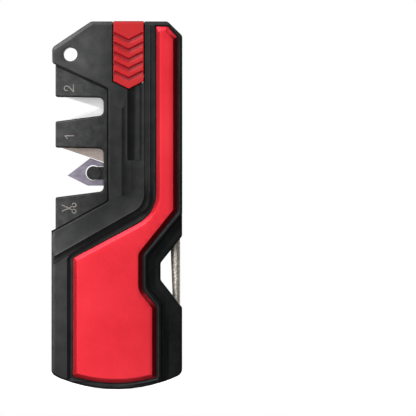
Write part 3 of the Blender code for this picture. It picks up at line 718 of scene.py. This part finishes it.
panel = {"face": (8.1, 7.55), "back": (6.95, 6.24), "bevelWidth": 1.25, "bevelDrop": 0.62,
         "crownZ": (40.0, 58.0), "crownX": (-5.0, 13.5), "crown": 0.0011}
clip = {
    "back": 7.1, "bevelWidth": 1.1, "bevelDrop": 0.6, "holeRadius": 1.95,
    "flareZ": [2.0, 7.6, 12.3, 18.6, 25.0, 31.0, 37.0], "flareY": [9.0, 8.98, 8.8, 8.46, 8.27, 8.18, 8.1],
    "bendFrom": 64.0, "bendTo": 60.0,
}


def bevelled(corners, width, drop):
    # A flat bevel with both its edges broken by a small round
    return band(corners, [0, 0.05, 0.15, width - 0.1, width, width + 0.12],
                [drop + 0.16, drop + 0.06, drop, 0.06, 0.015, 0.0])


def buildPanel():
    edge = bevelled(panelCorners, panel["bevelWidth"], panel["bevelDrop"])
    ribs = [np.array([(x, 0.0), (x + 0.001, 118.0)]) for x in np.arange(-12.0, 18.0, 2.0)]

    def outer(points):
        # A shallow crown: the drop grows with the square of the distance from its middle line
        middle = np.interp(points[:, 1], panel["crownZ"], panel["crownX"])
        crown = panel["crown"] * (points[:, 0] - middle) ** 2
        return thinning(points, *panel["face"]) - edge["drop"](points) - np.minimum(crown, 0.4)

    points, faces = slab(panelCorners, -1, outer, lambda p: thinning(p, *panel["back"]),
                         edge["lines"] + ribs, heights=thinSteps + np.arange(2.5, 113.0, 2.5).tolist())
    addPiece("anodised_front_panel", points, faces, redAluminium, "body", "red_aluminium", ["front_panel"])


def buildClip():
    edge = bevelled(panelCorners, clip["bevelWidth"], clip["bevelDrop"])
    holes = [circle(x, z, clip["holeRadius"], 32) for x, z in body["rivets"]]
    bendSteps = np.linspace(clip["bendTo"] - 1, clip["bendFrom"] + 1, 7).tolist()
    points, faces = slab(
        panelCorners, 1, lambda p: np.interp(p[:, 1], clip["flareZ"], clip["flareY"]) - edge["drop"](p),
        lambda p: np.full(len(p), clip["back"]), linesOf(edge), holes,
        np.linspace(5, 37, 13).tolist() + bendSteps)
    piece = addPiece("spring_pocket_clip", points, faces, redAluminium, None, "red_aluminium",
                     ["clip_root", "clip_tongue"])
    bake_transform(piece)


buildPanel()
buildClip()

# Thumb slider
slider = {
    "face": sliderLow[1], "back": 5.6, "shoulder": 97.1, "edgeRadius": 0.2, "topRadius": 0.9,
    "grooves": 5, "grooveStep": 3.0, "firstGroove": 109.1, "slope": 0.5, "margin": 0.35,
    "profileAt": [-0.3, -0.02, 0.08, 0.85, 1.2, 1.38], "profileDrop": [0.0, 0.12, 0.46, 0.62, 0.1, 0.0],
}


def buildSlider():
    left, right, top = sliderLow[0], sliderHigh[0], sliderHigh[2]
    shoulder = slider["shoulder"]
    rim = [(left, top, 0.2), (left, shoulder, 0), (sliderMiddle, sliderLow[2], 0), (right, shoulder, 0),
           (right, top, 0.2)]
    edge = fillet(rim, slider["edgeRadius"], 3)
    brow = fillet([(-40, top, 0), (-40, 60, 0), (40, 60, 0), (40, top, 0)], slider["topRadius"])
    inset = moved(rim, -slider["margin"])
    margin = band(inset, [-0.15, 0.0], [0.0, 1.0])
    arm = (right - left) * 0.6
    lines = []
    for number in range(slider["grooves"]):
        for at in slider["profileAt"]:
            low = slider["firstGroove"] - slider["grooveStep"] * number + at
            far = low + arm * slider["slope"]
            chevron = [(sliderMiddle - arm, far), (sliderMiddle, low), (sliderMiddle + arm, far)]
            lines.append(np.array(chevron))

    def outer(points):
        # Height above the nearest V's lower edge, repeated every groove step
        rise = points[:, 1] - np.abs(points[:, 0] - sliderMiddle) * slider["slope"] - slider["firstGroove"]
        start = slider["profileAt"][0]
        number = np.clip(np.floor((rise - start) / slider["grooveStep"] + 1e-6), 1 - slider["grooves"], 0)
        drop = np.interp(rise - number * slider["grooveStep"], slider["profileAt"], slider["profileDrop"])
        drop *= margin["drop"](points)
        return -slider["face"] - np.maximum(drop, np.maximum(edge["drop"](points), brow["drop"](points)))

    points, faces = slab(rim, -1, outer, lambda p: np.full(len(p), slider["back"]),
                         linesOf(edge, brow, margin) + lines)
    addPiece("grooved_thumb_slider", points, faces, groovedRedPaintedShade, "slider", "red_plastic", ["slider_button"])


buildSlider()

# Diamond file and its holder

rod = {
    "stations": [17.2, 29.0, 43.0, 60.0, 75.5, 94.0, 98.3, 99.1],
    "half": [2.3, 2.65, 2.3, 1.95, 1.6, 0.95, 0.85, 0.45],
    "thick": [2.4, 2.4, 3.0, 3.3, 3.0, 1.9, 1.7, 0.9],
    "rings": 90, "sides": 40,
}
holder = {"half": 2.85, "neckHalf": 1.95, "knuckle": 4.3, "bore": 1.55, "edgeRadius": 0.35}


def buildRod():
    # Superellipse rings (|x|^2.4 + |y|^2.4 = 1) through the stations, smoothed along the length; round tip
    z = np.linspace(rodLow[2], rodHigh[2] - 0.8, rod["rings"])
    half, thick = np.interp(z, rod["stations"], rod["half"]), np.interp(z, rod["stations"], rod["thick"])
    soften = np.hanning(11) / np.hanning(11).sum()
    half = np.convolve(np.pad(half, 5, mode="edge"), soften, "valid")
    thick = np.convolve(np.pad(thick, 5, mode="edge"), soften, "valid")
    turn = np.linspace(0, np.pi / 2, 7)[1:]
    z = np.append(z, z[-1] + 0.75 * np.sin(turn))
    shrink = np.append(np.ones(rod["rings"]), np.maximum(np.cos(turn), 0.08))
    half = np.append(half, np.full(6, half[-1])) * shrink
    thick = np.append(thick, np.full(6, thick[-1])) * shrink
    around = np.linspace(0, 2 * np.pi, rod["sides"], endpoint=False)
    power = 2 / 2.4
    across = np.sign(np.cos(around)) * np.abs(np.cos(around)) ** power
    along = np.sign(np.sin(around)) * np.abs(np.sin(around)) ** power
    middle = rodHigh[0] - thick / 2
    middle[-6:] = middle[-7]
    rings = np.stack([middle[:, None] + thick[:, None] / 2 * across, half[:, None] * along,
                      np.broadcast_to(z[:, None], (len(z), rod["sides"]))], axis=2)
    points, faces = tube(rings)
    addPiece("diamond_file", points, faces, diamondGrit, "rod", "diamond_grit", ["diamond_rod"], 40)


def buildHolder():
    arc = arcCorners(pinX, pinZ, holder["knuckle"], np.linspace(radians(95), radians(378), 40))
    rim = arc + [(20.3, 16.6, 0.4), (20.3, holderTop, 0.3), (15.8, holderTop, 0.3), (15.8, 16.6, 0.4)]
    edge = fillet(rim, holder["edgeRadius"], 3)
    # The neck is waisted: full width at the collar, narrow below it, full again at the knuckle
    half, neck = holder["half"], holder["neckHalf"]
    waistZ, waist = [13.4, 14.6, 15.9, 16.9], [half, neck, neck, half]

    def outer(points):
        return np.interp(points[:, 1], waistZ, waist) - edge["drop"](points)

    holes = [circle(pinX, pinZ, holder["bore"], 32)]
    points, faces = slab(rim, 1, outer, lambda p: -outer(p), edge["lines"], holes,
                         waistZ + [13.3, 14.7, 15.8, 17.0])
    addPiece("file_holder", points, faces, redPlastic, "rod", "red_plastic", ["rod_holder"])


buildRod()
buildHolder()

# Blades, ceramics and the post they meet at

edges = {"grindWidth": 1.1, "grindDrop": 0.1, "ceramicRound": 0.35}


def bladeHole():
    # The blade's round hole sits a little up and to the left of the post; its slot is as wide as the stem
    half = post["stemHalf"] + 0.02
    return headAndStem(post["holeX"], post["holeZ"], post["holeRadius"], half, 31, post["stemEnd"] + 0.35,
                       half + 0.02)


def buildInsert(name, node, made, slot, bevel):
    low, high = boxMm(node)
    side = 1 if high[1] + low[1] > 0 else -1
    near, far = sorted((abs(low[1]), abs(high[1])))
    holes = [bladeHole()] if node == "scissor_blade" else []
    points, faces = slab(inserts[node], side, lambda p: far - bevel["drop"](p),
                         lambda p: near + bevel["drop"](p), bevel["lines"], holes)
    addPiece(name, points, faces, made, "body", slot, [node])


def buildInserts():
    grind = [0, 0.03, edges["grindWidth"], edges["grindWidth"] + 0.1]
    fall = [edges["grindDrop"] + 0.06, edges["grindDrop"], 0.0, 0.0]
    for name, node, made, slot in (("carbide_insert", "carbide_blade", groundCarbide, "carbide"),
                                   ("scissor_insert", "scissor_blade", groundSteel, "blade_steel")):
        buildInsert(name, node, made, slot, band(inserts[node], grind, fall))
    for node, name in (("ceramic_upper", "upper_ceramic_stone"), ("ceramic_lower", "lower_ceramic_stone")):
        buildInsert(name, node, whiteCeramic, "ceramic", fillet(inserts[node], edges["ceramicRound"]))
    rim = keyhole()
    head = band(circle(post["x"], post["z"], post["radius"] + 0.02), [-0.25, -0.1], [0.6, 0.0])
    edge = fillet(rim, 0.3, 3)

    def outer(points):
        return post["half"] - head["drop"](points) - edge["drop"](points)

    points, faces = slab(rim, -1, outer, lambda p: -outer(p), linesOf(head, edge))
    addPiece("blade_post_boss", points, faces, corePlastic, "body", "core_plastic", ["blade_post"])


buildInserts()

# Fasteners

screw = {"name": "socket_screw", "radius": 1.6, "top": 6.35, "dome": 0.25, "edgeRadius": 0.18, "under": 5.45,
         "shank": 1.0, "length": 8.35, "rings": (0.62, 0.75), "socket": 0.78, "socketDepth": 0.6}
rivet = {"name": "domed_rivet", "radius": 1.7, "top": 8.05, "dome": 0.35, "edgeRadius": 0.15, "under": 7.1,
         "shank": 0.8, "length": 2.5, "rings": (0.3, 0.6, 0.78)}


def buildFastener(kind, node, number, x, z):
    # A head on a shank. Its face falls away from the middle: drop = dome * r^2 / radius^2
    radius = kind["radius"]
    rim = circle(x, z, radius, 36)
    cuts = [fillet(rim, kind["edgeRadius"], 3)]
    if "socket" in kind:
        cuts.append(band(circle(x, z, kind["socket"], 6), [0, 0.04], [0, kind["socketDepth"]]))
    shank = band(circle(x, z, kind["shank"], 24), [-0.04, 0], [0.0, kind["length"]])
    rings = [rounded(circle(x, z, share * radius, 24)) for share in kind["rings"]]

    def outer(points):
        fall = kind["dome"] * ((points[:, 0] - x) ** 2 + (points[:, 1] - z) ** 2) / radius**2
        return kind["top"] - fall - sum(cut["drop"](points) for cut in cuts)

    points, faces = slab(rim, 1, outer, lambda p: kind["under"] - shank["drop"](p),
                         linesOf(*cuts, shank) + rings)
    addPiece(f"{kind['name']}_{number}", points, faces, platedSteel, "body", "steel", [f"{node}_{number}"])


for number, (x, z) in enumerate(body["screws"], 1):
    buildFastener(screw, "body_screw", number, x, z)
for number, (x, z) in enumerate(body["rivets"], 1):
    buildFastener(rivet, "clip_rivet", number, x, z)

# Printed marks on the jaws: the step numbers and a pair of scissors, turned to be read from the right

marks = {"width": 0.26, "thick": 0.03, "level": core["face"] - 0.01}


def strokePiece(name, paths):
    # A flat rectangle carried along each path, with its sides half a width out along the path's normal
    allPoints, allFaces, start = [], [], 0
    for path in paths:
        spots = np.array(path, float)
        ahead = np.gradient(spots, axis=0)
        ahead /= np.hypot(*ahead.T)[:, None]
        out = np.stack([ahead[:, 1], -ahead[:, 0]], axis=1) * marks["width"] / 2
        corners = [(spots + out, 0.0), (spots + out, 1.0), (spots - out, 1.0), (spots - out, 0.0)]
        places = [(c[:, 0], jawFall(c[:, 0]) - marks["level"] - up * marks["thick"], c[:, 1])
                  for c, up in corners]
        rings = np.stack([np.stack(place, axis=1) for place in places], axis=1)
        points, faces = tube(rings)
        allPoints.append(points)
        allFaces += [[start + i for i in face[::-1]] for face in faces]
        start += len(points)
    addPiece(name, np.concatenate(allPoints), allFaces, greyInk, "body")


def arcPath(x, z, radius, fromDegrees, toDegrees, count=18):
    turn = np.radians(np.linspace(fromDegrees, toDegrees, count))
    return np.stack([x + radius * np.cos(turn), z + radius * np.sin(turn)], axis=1)


def buildMarks():
    foot = [(-13.75, 93.7), (-13.75, 96.1)]
    hook = arcPath(-15.9, 94.9, 0.75, -60, -275)
    swoop = np.concatenate([hook, [(-15.0, 95.2), (-14.4, 94.5), (-13.8, 93.75)]])
    strokePiece("mark_two", [foot, swoop])
    flag = [(-16.5, 79.95), (-15.9, 79.4), (-15.7, 78.9)]
    strokePiece("mark_one", [[(-16.5, 79.9), (-15.0, 79.9), (-13.6, 79.9)], flag])
    bladeUp = [(-17.4, 56.1), (-15.6, 56.9), (-14.1, 57.7)]
    bladeDown = [(-17.4, 58.1), (-15.6, 57.3), (-14.1, 56.5)]
    upperLoop = arcPath(-13.55, 58.05, 0.62, 215, 540)
    lowerLoop = arcPath(-13.55, 56.15, 0.62, 145, -180)
    strokePiece("mark_scissors", [bladeUp, bladeDown, upperLoop, lowerLoop])


buildMarks()

# CAD nodes that keep their shape get a finish of their own

keptNodes = {
    "slider_carriage": corePlastic, "rod_catch": corePlastic, "slider_spring": platedSteel,
    "rod_detent_spring": platedSteel, "rod_pivot_pin": platedSteel,
    "pivot_washer_front": platedSteel, "pivot_washer_rear": platedSteel,
}
for node, made in keptNodes.items():
    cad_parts[node].data.materials.clear()
    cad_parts[node].data.materials.append(made)
print("kept nodes have their finishes")

# Floor, light and camera

studio = {
    "floorRadius": 0.3, "floorGlow": 0.75,
    "distance": 3.0, "lens": 822.0, "cameraX": 0.02867, "cameraZ": 0.05714,
    "dim": 0.03,       # the room beyond the lights, as black surfaces mirror it
    "lights": [        # name, middle, (width, height), brightness of its face
        ("front_left_softbox", (-0.25, -0.45, 0.1), (0.66, 0.66), 1.6),
        ("upper_left_softbox", (-0.26, -0.42, 0.4), (0.2, 0.2), 8.0),
        ("upper_right_softbox", (0.36, -0.32, 0.46), (0.16, 0.16), 2.4),
        ("low_strip", (-0.02, -0.3, -0.34), (0.3, 0.1), 1.1),
        ("top_strip", (-0.05, -0.36, 0.56), (0.5, 0.12), 6.0),
        ("left_strip", (-0.6, -0.02, 0.06), (0.22, 0.3), 10.0),
        ("right_strip", (0.6, 0.02, 0.05), (0.06, 0.4), 1.6),
        ("rear_softbox", (0.25, 0.5, 0.16), (0.6, 0.6), 1.4),
        ("rear_upper_softbox", (0.35, 0.25, 0.5), (0.25, 0.25), 5.0),
    ],
}


def buildStudio():
    scene = bpy.context.scene
    scene.view_settings.view_transform = "Standard"
    turn = np.linspace(0, 2 * np.pi, 64, endpoint=False)
    points = np.stack([np.cos(turn), np.sin(turn), np.zeros(64)], axis=1) * studio["floorRadius"]
    points[:, 2] = cadLow[2] - 0.02 * mm
    mesh = bpy.data.meshes.new("floor")
    mesh.from_pydata(points.tolist(), [], [list(range(64))])
    floor = bpy.data.objects.new("floor", mesh)
    # Light passes through the floor and nothing mirrors it, so the lower end is lit like the rest
    floor.visible_glossy = floor.visible_shadow = False
    scene.collection.objects.link(floor)
    sweep, tree, shader = newMaterial("white_paper_sweep", {
        "Roughness": 0.9, "Emission Color": (1.0, 1.0, 1.0, 1.0),
    })
    # Pale to the eye; as the object mirrors it, it is only a dim grey
    seen = addNode(tree, "ShaderNodeLightPath").outputs["Is Camera Ray"]
    greys = {"Color1": (0.08, 0.08, 0.08, 1.0), "Color2": (0.85, 0.85, 0.85, 1.0)}
    tone = addNode(tree, "ShaderNodeMixRGB", greys, {"Fac": seen})
    glow = addNode(tree, "ShaderNodeMath", {1: studio["floorGlow"]}, {0: seen}, operation="MULTIPLY")
    tree.links.new(tone.outputs["Color"], shader.inputs["Base Color"])
    tree.links.new(glow.outputs["Value"], shader.inputs["Emission Strength"])
    mesh.materials.append(sweep)
    world = bpy.data.worlds.new("soft_studio")
    scene.world = world
    world.use_nodes = True
    tree = world.node_tree
    tree.nodes.clear()
    # White to the eye, dim in reflections, so that the lights alone shape the edges
    white = (1.0, 1.0, 1.0, 1.0)
    around = addNode(tree, "ShaderNodeBackground", {"Color": white, "Strength": studio["dim"]})
    plain = addNode(tree, "ShaderNodeBackground", {"Color": white, "Strength": 1.0})
    seen = addNode(tree, "ShaderNodeLightPath").outputs["Is Camera Ray"]
    mixed = addNode(tree, "ShaderNodeMixShader", links={0: seen, 1: around.outputs[0], 2: plain.outputs[0]})
    addNode(tree, "ShaderNodeOutputWorld", links={"Surface": mixed.outputs[0]})
    target = Vector((0, 0, 0.058))
    for name, place, (width, height), brightness in studio["lights"]:
        light = bpy.data.lights.new(name, "AREA")
        light.shape = "RECTANGLE"
        light.size, light.size_y = width, height
        # Power of an evenly bright face: brightness * pi * area
        light.energy = brightness * np.pi * width * height
        lamp = bpy.data.objects.new(name, light)
        lamp.location = place
        # The two big softboxes stand square to the object, the others are aimed at its middle
        square = name in ("front_left_softbox", "rear_softbox")
        facing = Vector((place[0], 0, place[2])) if square else target
        lamp.rotation_euler = (facing - Vector(place)).to_track_quat("-Z", "Y").to_euler()
        lamp.visible_camera = False
        scene.collection.objects.link(lamp)
    camera = bpy.data.cameras.new("camera")
    camera.lens = studio["lens"]
    camera.clip_end = 20.0
    eye = bpy.data.objects.new("camera", camera)
    eye.location = (studio["cameraX"], -studio["distance"], studio["cameraZ"])
    eye.rotation_euler = (radians(90), 0, 0)
    scene.collection.objects.link(eye)
    scene.camera = eye


buildStudio()
print("floor, light and camera ready")
